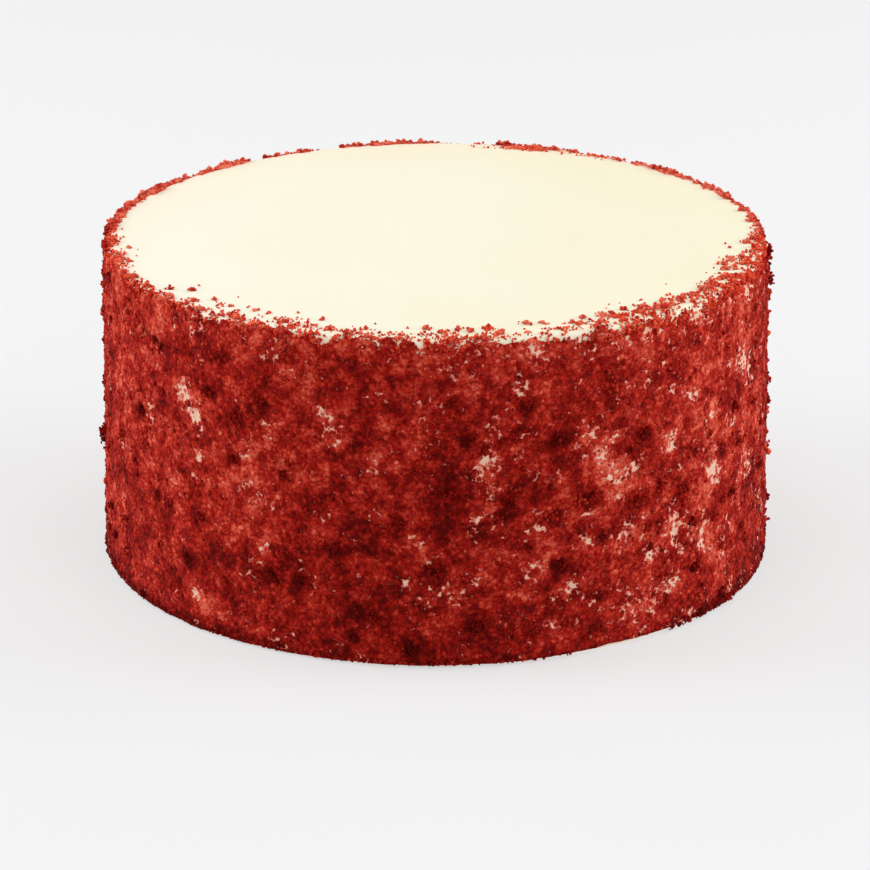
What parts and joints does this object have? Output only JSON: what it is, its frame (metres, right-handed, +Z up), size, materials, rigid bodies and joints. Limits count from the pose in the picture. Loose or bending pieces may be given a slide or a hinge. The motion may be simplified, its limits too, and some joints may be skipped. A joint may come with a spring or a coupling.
{
  "type": "red velvet cake",
  "caption": "Round uncut red velvet cake: smooth pale icing on top, red cake crumbs pressed all round the side and lapping over the rim.",
  "frame": {"origin": "centre of the flat base, on the surface the cake stands on", "axes": "+Z up through the cake's top; the cake is round about it, and -Y is the side taken as its front"},
  "size_m": [0.2034, 0.2018, 0.0993],
  "materials": {
    "frosting": "smooth spread icing, satin",
    "crumb": "dry granular cake crumb, dull"
  },
  "bodies": {
    "root": {"frosted_cake": "frosting", "crumb_coat": "crumb"}
  },
  "joints": []
}
